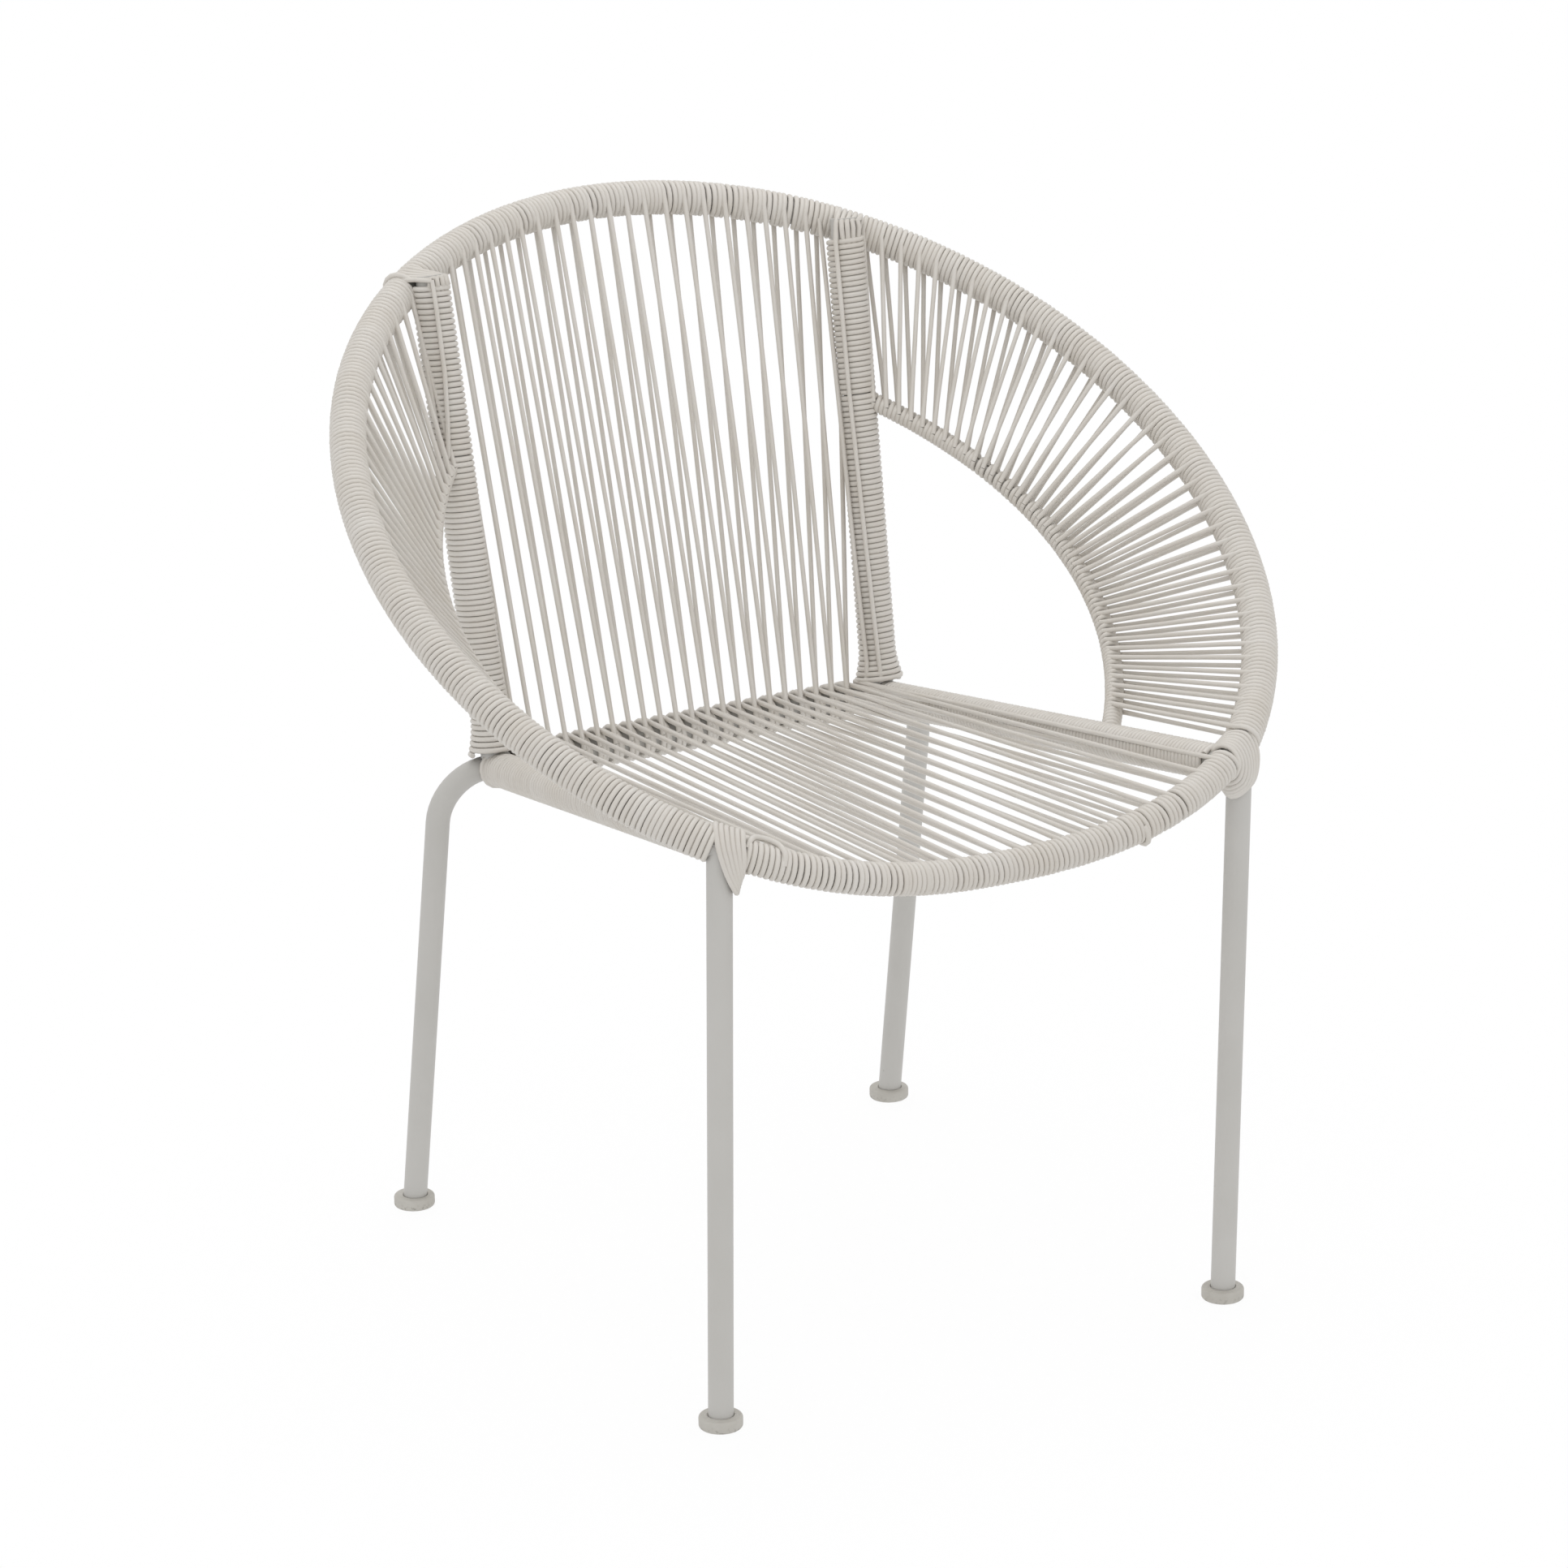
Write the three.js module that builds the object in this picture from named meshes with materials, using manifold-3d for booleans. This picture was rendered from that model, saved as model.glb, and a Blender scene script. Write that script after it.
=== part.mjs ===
// Acapulco chair: a welded tube frame, wound and strung with round vinyl cord.
// Millimetres, +Z up, sitter facing -Y. The origin lies on the floor under the middle of the chair.
import * as THREE from 'three';
import { mergeVertices } from 'three/addons/utils/BufferGeometryUtils.js';
import Module from 'manifold-3d';

const wasm = await Module();
wasm.setup();
const degrees = THREE.MathUtils.degToRad;

// Tube, rod and cord sections
const hoopTube = 19;
const bowTube = 16;
const legTube = 19;
const railTube = 19;
const postTube = 22;
const archRod = 6;
const tubeWall = 1.5;
const cord = 4.2;
const fitGap = 0.3;
const weldGap = 0.5;

// Hoop: a tilted ellipse, open in front. Angles on it start at the middle of the back.
const hoopHalfWidth = 347;
const hoopHalfLength = 382;
const hoopCentreHeight = 600;
const hoopTilt = degrees(29.85);
const frontLegAngle = degrees(140);
const postAngle = degrees(34.3);
const panelEdgeAngle = degrees(37.4);

// Front bow, measured from the two corners where the hoop meets the front legs
const bowForward = 36;
const bowDrop = 44.6;
const bowForwardPowerShare = 3.6;
const bowDropPowerShare = 2.24;

// Legs. Set-backs are measured from the middle of the hoop.
const frontFootSetIn = 16;
const legTopCover = 2;
const crossbarHeight = 383.5;
const crossbarSetBack = 198.5;
const rearKneeHalfWidth = 220;
const rearFootHalfWidth = 225;
const rearFootSetBack = 266;
const rearBendRadius = 41;

// Seat rails and back posts
const railRearHalfWidth = 175;
const railBowShare = 0.9;
const railBareFront = 33;
const postFromCrossbar = 9.4;
const postTopCover = 6;

// Arm arches: one end on the post, the other on the rail, bulging outwards between
const archPostReach = 247;
const archRailReach = 322;
const archBulge = 79;
const archRoundShare = 0.565;

// Foot caps
const capDiameter = 33;
const capHeight = 9.5;
const capRound = 2.2;
const capSocketFloor = 5;

// Strings and turns. Each string runs from the hoop, over the crossbar and on to the bow, in pairs
// that lie side by side on the crossbar and open into two layers at the hoop and at the bow.
const stringPairs = 21;
const pairSpacing = 4.7;
const crossbarStringHalfWidth = 146;
const backStringSpread = degrees(29);
const backPairSplay = degrees(2.4);
const seatStringBowShare = 0.776;
const sideStrings = 38;
const stringBite = 1;
const sideStringArchShares = [0.03, 0.95];
const sideStringHoopMargins = [degrees(0.3), degrees(3.5)];
const postStringTurns = [degrees(-32), degrees(-10)];
const postTurnPitch = 4.75;

// Smoothness of the faceted solids
const tubeSides = 10;
const boreSides = 6;
const rodSides = 8;
const stringSides = 4;
const turnSides = 4;
const turnSteps = 8;
const hoopSteps = 36;
const bowSteps = 12;
const archSteps = 9;
const bendSteps = 5;
const capSides = 14;
const capRoundSteps = 2;

const half = (size) => size / 2;
const at = (x, y, z) => new THREE.Vector3(x, y, z);
const upright = at(0, 0, 1);
const sideways = at(1, 0, 0);

// A path of fixed stations. Its sections keep one direction fixed, or turn as little as they can.
class StationPath extends THREE.Curve {
  constructor(points, keep) {
    super();
    this.points = points;
    this.keep = keep;
  }

  getPoint(t) {
    return this.points[Math.round(t * (this.points.length - 1))].clone();
  }

  getPointAt(t) {
    return this.getPoint(t);
  }

  getTangentAt(t) {
    const last = this.points.length - 1;
    const i = Math.round(t * last);
    const run = (k) => this.points[k + 1].clone().sub(this.points[k]).normalize();
    return run(Math.max(i - 1, 0)).add(run(Math.min(i, last - 1))).normalize();
  }

  computeFrenetFrames(segments, closed) {
    if (!this.keep) return super.computeFrenetFrames(segments, closed);
    const frames = { tangents: [], normals: [], binormals: [] };
    for (let i = 0; i <= segments; i++) {
      const tangent = this.getTangentAt(i / segments);
      const normal = this.keep.clone().addScaledVector(tangent, -this.keep.dot(tangent)).normalize();
      frames.tangents.push(tangent);
      frames.normals.push(normal);
      frames.binormals.push(tangent.clone().cross(normal));
    }
    return frames;
  }
}

const ring = (radius, sides, kind) => {
  const points = [];
  for (let i = 0; i < sides; i++) {
    const turn = (2 * Math.PI * i) / sides;
    points.push(new THREE.Vector2(radius * Math.cos(turn), radius * Math.sin(turn)));
  }
  return new kind(points);
};

// A round bar, or a pipe where a bore is given, swept along stations
function sweep(points, keep, radius, sides, boreRadius = 0, boreSides = sides) {
  const section = ring(radius, sides, THREE.Shape);
  if (boreRadius > 0) section.holes.push(ring(boreRadius, boreSides, THREE.Path));
  const extrudePath = new StationPath(points, keep);
  return new THREE.ExtrudeGeometry(section, { steps: points.length - 1, extrudePath });
}

// Closed solids for joining and cutting
function solid(geometry) {
  const bare = geometry.clone();
  bare.deleteAttribute('normal');
  bare.deleteAttribute('uv');
  const merged = mergeVertices(bare);
  return new wasm.Manifold(new wasm.Mesh({
    numProp: 3,
    vertProperties: new Float32Array(merged.attributes.position.array),
    triVerts: new Uint32Array(merged.index.array),
  }));
}

function toGeometry(body) {
  const mesh = body.getMesh();
  const geometry = new THREE.BufferGeometry();
  geometry.setAttribute('position', new THREE.BufferAttribute(mesh.vertProperties, 3));
  geometry.setIndex(new THREE.BufferAttribute(mesh.triVerts, 1));
  geometry.computeVertexNormals();
  return geometry;
}

const join = (bodies) => wasm.Manifold.union(bodies);
const cut = (body, cutters) => body.subtract(join(cutters));

// The stretch of a path between two distances from its start
function stretch(points, from, to) {
  const kept = [];
  let run = 0;
  for (let i = 1; i < points.length; i++) {
    const step = points[i].distanceTo(points[i - 1]);
    const inFrom = from > run && from < run + step;
    const inTo = to > run && to < run + step;
    if (inFrom) kept.push(points[i - 1].clone().lerp(points[i], (from - run) / step));
    if (run >= from && run <= to) kept.push(points[i - 1].clone());
    if (inTo) kept.push(points[i - 1].clone().lerp(points[i], (to - run) / step));
    run += step;
  }
  if (run >= from && run <= to) kept.push(points[points.length - 1].clone());
  return kept;
}

const pathLength = (points) => points.slice(1).reduce((sum, p, i) => sum + p.distanceTo(points[i]), 0);
const trim = (points, start, end) => stretch(points, start, pathLength(points) - end);

// Corners joined by straight runs and round bends
function bentPath(corners, radius) {
  const points = [corners[0]];
  for (let i = 1; i < corners.length - 1; i++) {
    const back = corners[i - 1].clone().sub(corners[i]).normalize();
    const on = corners[i + 1].clone().sub(corners[i]).normalize();
    const halfTurn = back.angleTo(on) / 2;
    const middle = back.clone().add(on).normalize();
    const centre = corners[i].clone().addScaledVector(middle, radius / Math.sin(halfTurn));
    const first = corners[i].clone().addScaledVector(back, radius / Math.tan(halfTurn)).sub(centre);
    const axis = back.clone().cross(on).normalize();
    const sweepAngle = Math.PI - 2 * halfTurn;
    for (let k = 0; k <= bendSteps; k++) {
      const turned = first.clone().applyAxisAngle(axis, (-sweepAngle * k) / bendSteps);
      points.push(centre.clone().add(turned));
    }
  }
  points.push(corners[corners.length - 1]);
  return points;
}

// Radii that follow from the sections
const hoopWound = half(hoopTube) + fitGap + cord;
const bowWound = half(bowTube) + fitGap + cord;
const railWound = half(railTube) + fitGap + cord;
const crossbarWound = half(legTube) + fitGap + cord;
const postWound = half(postTube) + fitGap + cord;
const archWound = half(archRod) + fitGap + cord;

// The hoop's plane and its centre line
const hoopRise = at(0, Math.cos(hoopTilt), Math.sin(hoopTilt));
const hoopUp = at(0, -Math.sin(hoopTilt), Math.cos(hoopTilt));
const hoopCurve = (angle) => at(hoopHalfWidth * Math.sin(angle), 0, hoopCentreHeight)
  .addScaledVector(hoopRise, hoopHalfLength * Math.cos(angle));
const mirrored = (point, side) => at(point.x * side, point.y, point.z);

const hoopPath = [];
for (let i = 0; i <= hoopSteps; i++) {
  hoopPath.push(hoopCurve(frontLegAngle * ((2 * i) / hoopSteps - 1)));
}

// The faceted hoop at an angle: the place on it, its direction, and the run up to it from the left end
function onHoop(angle) {
  const place = ((angle / frontLegAngle + 1) / 2) * hoopSteps;
  const before = Math.min(Math.floor(place), hoopSteps - 1);
  const [from, to] = [hoopPath[before], hoopPath[before + 1]];
  return {
    point: from.clone().lerp(to, place - before),
    tangent: to.clone().sub(from).normalize(),
    run: pathLength(hoopPath.slice(0, before + 1)) + (place - before) * from.distanceTo(to),
  };
}

// Points of the frame, for the right side
const corner = onHoop(frontLegAngle).point;
const frontFoot = at(corner.x, corner.y + frontFootSetIn, 0);
const rearKnee = at(rearKneeHalfWidth, crossbarSetBack, crossbarHeight);
const rearFoot = at(rearFootHalfWidth, rearFootSetBack, 0);

function bowPoint(share) {
  const along = Math.abs(share);
  const forward = bowForward * (1 - along ** bowForwardPowerShare);
  const drop = bowDrop * (1 - along ** bowDropPowerShare);
  return at(corner.x * share, corner.y - forward, corner.z - drop);
}

const bowPath = [];
for (let i = 0; i <= bowSteps; i++) bowPath.push(bowPoint((2 * i) / bowSteps - 1));

const railRear = at(railRearHalfWidth, crossbarSetBack, crossbarHeight);
const railFront = bowPoint(railBowShare);
const railAlong = railFront.clone().sub(railRear).normalize();
const railPoint = (reach) => railRear.clone().addScaledVector(railAlong, reach);

// The post stands on the rail and leans against the inside of the hoop
const postFoot = railPoint(postFromCrossbar);
const postHoop = onHoop(postAngle).point;
const postLean = postHoop.clone().sub(postFoot).normalize();
const postAside = onHoop(postAngle).tangent.cross(postLean).normalize();
const postHead = postHoop.clone()
  .addScaledVector(postAside, Math.sign(-postAside.y) * (half(hoopTube) + half(postTube) + weldGap));
const postAlong = postHead.clone().sub(postFoot).normalize();
const postPoint = (reach) => postFoot.clone().addScaledVector(postAlong, reach);
const postLength = postFoot.distanceTo(postHead);

// The arch's centre line, from the post's axis to the rail's axis
const archStart = postPoint(archPostReach);
const archEnd = railPoint(archRailReach);
const archFlat = Math.sqrt(1 - archRoundShare ** 2);
function archPoint(share) {
  const round = Math.sqrt(1 - (archRoundShare * (2 * share - 1)) ** 2);
  return archStart.clone().lerp(archEnd, share)
    .addScaledVector(sideways, (archBulge * (round - archFlat)) / (1 - archFlat));
}
const archUp = archEnd.clone().sub(archStart).cross(sideways).normalize();

const chair = new THREE.Group();

const coating = { color: 0xc6c2ba, roughness: 0.5, metalness: 0.0 };
const vinyl = { color: 0xd2ccc2, roughness: 0.55, metalness: 0.0 };
const moulding = { color: 0xcac6be, roughness: 0.6, metalness: 0.0 };

function add(name, geometry, finish) {
  const mesh = new THREE.Mesh(geometry, new THREE.MeshStandardMaterial(finish));
  mesh.name = name;
  chair.add(mesh);
}

const pipe = (points, keep, size) => solid(sweep(
  points, keep, half(size), tubeSides, half(size) - tubeWall, boreSides,
));
const bar = (points, keep, radius) => solid(sweep(points, keep, radius, tubeSides));
const sleeve = (points, keep, size) => solid(sweep(
  points, keep, half(size) + fitGap + cord, tubeSides, half(size) + fitGap,
));
const mirrorPath = (points, side) => points.map((point) => mirrored(point, side));
const bothSides = (make) => [-1, 1].map(make);

// Paths of the straight members, for the right side
const legAxis = (foot, knee, height) => foot.clone().lerp(knee, height / knee.z);
const frontLegTop = corner.z + half(hoopTube) + legTopCover;
const frontLegPath = [
  legAxis(frontFoot, corner, capSocketFloor), legAxis(frontFoot, corner, frontLegTop),
];
const rearPath = bentPath([
  legAxis(rearFoot, rearKnee, capSocketFloor), rearKnee,
  mirrored(rearKnee, -1), mirrored(legAxis(rearFoot, rearKnee, capSocketFloor), -1),
], rearBendRadius);
const rearUp = rearKnee.clone().sub(rearFoot).cross(sideways).normalize();
const railCentres = [railRear, railFront];
const postCentres = [postFoot, postPoint(postLength + postTopCover)];

// Cutters that leave a weld gap round a member
const legWelds = bothSides((side) => bar(mirrorPath(frontLegPath, side), sideways, half(legTube) + weldGap));
const bowWeld = bar(bowPath, upright, half(bowTube) + weldGap);
const rearWeld = bar(rearPath, rearUp, half(legTube) + weldGap);
const railWeld = (side) => bar(mirrorPath(railCentres, side), upright, half(railTube) + weldGap);

// Hoop, bow and front legs meet at the two corners
const meetTrim = half(legTube) / 2;
add('hoop_tube', toGeometry(cut(pipe(hoopPath, hoopUp, hoopTube), legWelds)), coating);
add('front_bow_tube', toGeometry(cut(pipe(bowPath, upright, bowTube), legWelds)), coating);
add('rear_leg_frame', toGeometry(pipe(rearPath, rearUp, legTube)), coating);

// Foot cap: a rounded disc with a blind socket that follows the leg
function footCap(foot, knee, keep) {
  const profile = [new THREE.Vector2(0, 0)];
  for (const [height, start] of [[capRound, -90], [capHeight - capRound, 0]]) {
    for (let i = 0; i <= capRoundSteps; i++) {
      const turn = degrees(start + (90 * i) / capRoundSteps);
      profile.push(new THREE.Vector2(
        half(capDiameter) - capRound + capRound * Math.cos(turn), height + capRound * Math.sin(turn),
      ));
    }
  }
  profile.push(new THREE.Vector2(0, capHeight));
  const disc = new THREE.LatheGeometry(profile, capSides);
  disc.rotateX(Math.PI / 2);
  disc.translate(foot.x, foot.y, 0);
  const low = legAxis(foot, knee, capSocketFloor);
  const along = knee.clone().sub(foot).normalize();
  const socket = [low.clone().addScaledVector(along, -fitGap), low.clone().addScaledVector(along, capHeight)];
  return cut(solid(disc), [bar(socket, keep, half(legTube) + fitGap)]);
}

const crossbarPath = [
  at(-(railRearHalfWidth - railWound - fitGap), crossbarSetBack, crossbarHeight),
  at(railRearHalfWidth - railWound - fitGap, crossbarSetBack, crossbarHeight),
];
add('crossbar_winding', toGeometry(sleeve(crossbarPath, rearUp, legTube)), vinyl);

// A string through given points, and the way off a wound tube at a right angle to a string
const string = (...points) => solid(sweep(points, null, half(cord), stringSides));
const offside = (tangent, along) => tangent.clone().cross(along).normalize();

// Places spread evenly, a half step in from both ends
const spread = (count, index, low, high) => low + ((high - low) * (index + 0.5)) / count;

// Post winding: from above the arch to just under the hoop's winding
const archClear = half(archRod) + fitGap;
const hoopClear = (hoopWound + postWound) * Math.sin(Math.PI / 4) + cord;
const turnsFrom = archPostReach + archClear + half(cord);
const turnsTo = postLength - hoopClear;
const turnRadius = (half(postTube) + fitGap + half(cord)) / Math.cos(Math.PI / turnSteps);

// Back: the hoop's top winding, its wraps over the post heads, and strings down to the crossbar
const postWrapPath = [
  postPoint(turnsTo + cord), postPoint(postLength + postTopCover + fitGap + cord),
];
const postSocketPath = [postFoot, postPoint(postLength + postTopCover + fitGap)];
const hoopCutter = bar(hoopPath, hoopUp, half(hoopTube) + fitGap);
const postFront = sideways.clone().cross(postAlong).normalize();

function postString(side, turn) {
  const off = postFront.clone().applyAxisAngle(postAlong, turn);
  const points = [
    postPoint(postLength).addScaledVector(off, postWound - stringBite),
    postPoint(turnsTo).addScaledVector(off, turnRadius + cord + fitGap),
    postPoint(railWound + cord).addScaledVector(off, turnRadius + cord + fitGap),
  ];
  return string(...mirrorPath(points, side));
}

// Where a string turns from the back to the seat, behind and above the crossbar
const overCrossbar = crossbarWound + half(cord) + fitGap;
function crossbarPlace(i, layer) {
  const x = spread(stringPairs, i, -crossbarStringHalfWidth, crossbarStringHalfWidth);
  return at(x + layer * half(pairSpacing), crossbarSetBack + overCrossbar, crossbarHeight + overCrossbar);
}

function backPanel() {
  const edge = panelEdgeAngle;
  const winding = stretch(hoopPath, onHoop(-edge).run + half(fitGap), onHoop(edge).run - half(fitGap));
  const bodies = [bar(winding, hoopUp, hoopWound)];
  const cutters = [hoopCutter];
  for (const side of [-1, 1]) {
    bodies.push(bar(mirrorPath(postWrapPath, side), sideways, postWound));
    postStringTurns.forEach((turn) => bodies.push(postString(side, turn)));
    cutters.push(bar(mirrorPath(postSocketPath, side), sideways, half(postTube) + fitGap));
  }
  for (const layer of [-1, 1]) {
    for (let i = 0; i < stringPairs; i++) {
      const low = crossbarPlace(i, layer);
      const high = onHoop(spread(stringPairs, i, -backStringSpread, backStringSpread) + layer * backPairSplay);
      const away = offside(high.tangent, low.clone().sub(high.point));
      bodies.push(string(high.point.addScaledVector(away, layer * (hoopWound - stringBite)), low));
    }
  }
  return toGeometry(cut(join(bodies), cutters));
}
add('back_strings', backPanel(), vinyl);

// Seat: the bow's winding, and strings from its top and its underside back over the crossbar
function seatPanel() {
  const bodies = [bar(trim(bowPath, meetTrim, meetTrim), upright, bowWound)];
  for (const layer of [-1, 1]) {
    for (let i = 0; i < stringPairs; i++) {
      const back = crossbarPlace(i, layer);
      back.y -= half(cord) + 2 * weldGap;
      const front = bowPoint(spread(stringPairs, i, -seatStringBowShare, seatStringBowShare));
      front.add(at(layer * half(pairSpacing), 0, layer * (bowWound - stringBite)));
      bodies.push(string(front, back));
    }
  }
  const rails = bothSides((side) => bar(mirrorPath(railCentres, side), upright, half(railTube) + fitGap));
  const bowCutter = bar(bowPath, upright, half(bowTube) + fitGap);
  return toGeometry(cut(join(bodies), [bowCutter, ...legWelds, ...rails]));
}
add('seat_strings', seatPanel(), vinyl);

// Side: the hoop's side winding, the arch's winding and the strings between them
const archPath = [];
for (let i = 0; i <= archSteps; i++) archPath.push(archPoint(i / archSteps));
const archTangent = (share) => archPoint(share + 0.01).sub(archPoint(share - 0.01)).normalize();

function sidePanel(side) {
  const start = onHoop(panelEdgeAngle).run + half(fitGap);
  const winding = stretch(hoopPath, start, pathLength(hoopPath) - meetTrim);
  const bodies = [
    bar(winding, hoopUp, hoopWound),
    solid(sweep(archPath, archUp, archWound, rodSides)),
  ];
  for (let i = 0; i < sideStrings; i++) {
    const layer = i % 2 ? 1 : -1;
    const angle = spread(sideStrings, i, panelEdgeAngle + sideStringHoopMargins[0],
      frontLegAngle - sideStringHoopMargins[1]);
    const share = spread(sideStrings, i, ...sideStringArchShares);
    const high = onHoop(angle);
    const low = archPoint(share);
    const along = low.clone().sub(high.point);
    high.point.addScaledVector(offside(high.tangent, along), layer * (hoopWound - stringBite));
    low.addScaledVector(offside(archTangent(share), along), layer * (archWound - stringBite));
    bodies.push(string(high.point, low));
  }
  const panel = cut(join(bodies), [
    hoopCutter,
    solid(sweep(archPath, archUp, archClear, rodSides)),
    bar(postCentres, sideways, postWound + fitGap),
    bar(railCentres, upright, railWound + fitGap),
    ...legWelds,
  ]);
  return toGeometry(side < 0 ? panel.mirror([1, 0, 0]) : panel);
}

// A post winding with every turn: one unbroken helix of cord
function helix(from, to, radius, turns) {
  const along = to.clone().sub(from);
  const axis = along.clone().normalize();
  const first = axis.clone().cross(sideways).normalize();
  const second = axis.clone().cross(first);
  const points = [];
  const steps = turns * turnSteps;
  for (let i = 0; i <= steps; i++) {
    const turn = (2 * Math.PI * i) / turnSteps;
    points.push(from.clone().addScaledVector(along, i / steps)
      .addScaledVector(first, radius * Math.cos(turn)).addScaledVector(second, radius * Math.sin(turn)));
  }
  return points;
}

function leastGap(points) {
  let least = Infinity;
  points.forEach((point, i) => {
    for (let k = i + Math.round(turnSteps / 2); k < points.length; k++) {
      least = Math.min(least, point.distanceTo(points[k]) - cord);
    }
  });
  return least;
}

const turnCount = Math.floor((turnsTo - turnsFrom) / postTurnPitch);
const turnPath = helix(postPoint(turnsFrom), postPoint(turnsTo), turnRadius, turnCount);
console.log(`post winding: ${turnCount} turns, least gap between them ${leastGap(turnPath).toFixed(2)} mm`);

for (const [name, side] of [['left', -1], ['right', 1]]) {
  const kept = (points) => mirrorPath(points, side);
  const give = (part, body, finish) => add(`${name}_${part}`, toGeometry(body), finish);
  const archCutter = solid(sweep(kept(archPath), archUp, archClear, rodSides));
  give('front_leg', pipe(kept(frontLegPath), sideways, legTube), coating);
  give('seat_rail', cut(
    pipe(kept(trim(railCentres, 0, half(bowTube) / 2)), upright, railTube), [rearWeld, bowWeld],
  ), coating);
  give('back_post', cut(
    pipe(kept(trim(postCentres, half(railTube) / 2, 0)), sideways, postTube), [rearWeld, railWeld(side)],
  ), coating);
  give('arm_arch', cut(solid(sweep(kept(archPath), archUp, half(archRod), rodSides)), [
    bar(kept(postCentres), sideways, half(postTube) + fitGap),
    bar(kept(railCentres), upright, half(railTube) + fitGap),
  ]), coating);
  give('front_foot_cap', footCap(...kept([frontFoot, corner]), sideways), moulding);
  give('rear_foot_cap', footCap(...kept([rearFoot, rearKnee]), rearUp), moulding);
  const postCutter = bar(kept(postCentres), sideways, half(postTube) + fitGap);
  give('rail_winding', cut(
    sleeve(kept(trim(railCentres, half(legTube) + weldGap, railBareFront)), upright, railTube),
    [archCutter, postCutter],
  ), vinyl);
  give('post_lower_winding', cut(
    sleeve(kept([postPoint(railWound), postPoint(archPostReach - archClear)]), sideways, postTube),
    [archCutter, bar(kept(railCentres), upright, railWound + fitGap)],
  ), vinyl);
  add(`${name}_post_upper_winding`, sweep(kept(turnPath), null, half(cord), turnSides), vinyl);
  add(`${name}_side_strings`, sidePanel(side), vinyl);
}

// The chair stands over the origin, with its whole depth centred on it
const extent = new THREE.Box3().setFromObject(chair);
chair.position.y = -(extent.min.y + extent.max.y) / 2;

export default chair;
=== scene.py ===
import bisect
import math

import bmesh
import bpy
from mathutils import Matrix, Vector


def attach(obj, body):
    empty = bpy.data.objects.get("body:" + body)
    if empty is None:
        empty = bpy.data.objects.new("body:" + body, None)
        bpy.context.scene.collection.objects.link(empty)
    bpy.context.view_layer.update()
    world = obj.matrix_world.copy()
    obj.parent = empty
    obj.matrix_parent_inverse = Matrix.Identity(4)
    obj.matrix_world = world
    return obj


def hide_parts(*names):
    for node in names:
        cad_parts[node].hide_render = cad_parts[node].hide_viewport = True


# Acapulco chair: welded tube frame, wound and strung with round vinyl cord.
# Metres, +Z up, sitter facing -Y. Left is -X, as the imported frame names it.

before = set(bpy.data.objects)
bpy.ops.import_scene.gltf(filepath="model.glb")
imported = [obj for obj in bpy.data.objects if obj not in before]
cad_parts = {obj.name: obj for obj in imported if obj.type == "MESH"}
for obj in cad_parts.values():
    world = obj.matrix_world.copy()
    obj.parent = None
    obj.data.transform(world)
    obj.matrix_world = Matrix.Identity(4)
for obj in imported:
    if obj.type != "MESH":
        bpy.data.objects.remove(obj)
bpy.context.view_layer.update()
scene = bpy.context.scene
up = Vector((0, 0, 1))
right = Vector((1, 0, 0))
mm = 0.001

print("frame loaded:", len(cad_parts), "solids")

# Camera, at the photograph's angle. The photograph is 1932 pixels square.
cameraValues = {
    "place": (-1.9724, -3.4334, 1.6744),
    "target": (-0.0349, -0.0399, 0.4035),
    "roll": -0.969,              # degrees
    "focalPixels": 6637.6,
    "imagePixels": 1932,
    "sensor": 36,                # mm
}


def makeCamera(values):
    data = bpy.data.cameras.new("camera")
    data.sensor_width = values["sensor"]
    data.lens = values["sensor"] * values["focalPixels"] / values["imagePixels"]
    data.clip_start = 0.1
    data.clip_end = 60
    place = Vector(values["place"])
    ahead = (Vector(values["target"]) - place).normalized()
    level = ahead.cross(up).normalized()
    above = level.cross(ahead)
    c, s = math.cos(math.radians(values["roll"])), math.sin(math.radians(values["roll"]))
    axes = Matrix((level * c + above * s, above * c - level * s, -ahead)).transposed()
    camera = bpy.data.objects.new("camera", data)
    camera.matrix_world = Matrix.Translation(place) @ axes.to_4x4()
    scene.collection.objects.link(camera)
    scene.camera = camera


makeCamera(cameraValues)

# Curves of the frame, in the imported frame's own place
hoop = {
    "halfWidth": 0.347,
    "halfLength": 0.382,
    "centre": Vector((0, -0.02196, 0.600)),
    "tilt": math.radians(29.85),
    "tube": 0.019,
    "cornerAngle": 140,          # degrees from the middle of the back
    "postAngle": 34.3,
}
bow = {"tube": 0.016, "forward": 0.036, "drop": 0.0446, "forwardPower": 3.6, "dropPower": 2.24}
legs = {
    "tube": 0.019,
    "frontFootSetIn": 0.016,
    "crossbarHeight": 0.3835,
    "crossbarSetBack": 0.1985,
    "kneeHalfWidth": 0.220,
    "footHalfWidth": 0.225,
    "footSetBack": 0.266,
    "bend": 0.041,
    "floorOfCap": 0.005,
    "topCover": -0.0045,
}
rail = {"tube": 0.019, "halfWidth": 0.175, "bowShare": 0.9}
post = {"tube": 0.022, "fromCrossbar": 0.0094, "topCover": 0.006}
arch = {
    "rod": 0.006, "postReach": 0.247, "railReach": 0.322, "bulge": 0.079, "round": 0.565,
    "rodFrom": 0.02, "rodSpan": 0.95,             # shares of the curve between the two centre lines
}
cord = {
    "size": 0.0043, "pitch": 0.00435, "gap": 0.0003, "sides": 8, "steps": 16,
    "turned": 1.0, "stretched": 0.87,             # thickness where wound and where pulled straight
    "turnStep": 0.006, "taper": 0.008,            # steps between points that tell the two apart
    "waver": 0.00035, "waverScale": 90.0,
}

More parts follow.
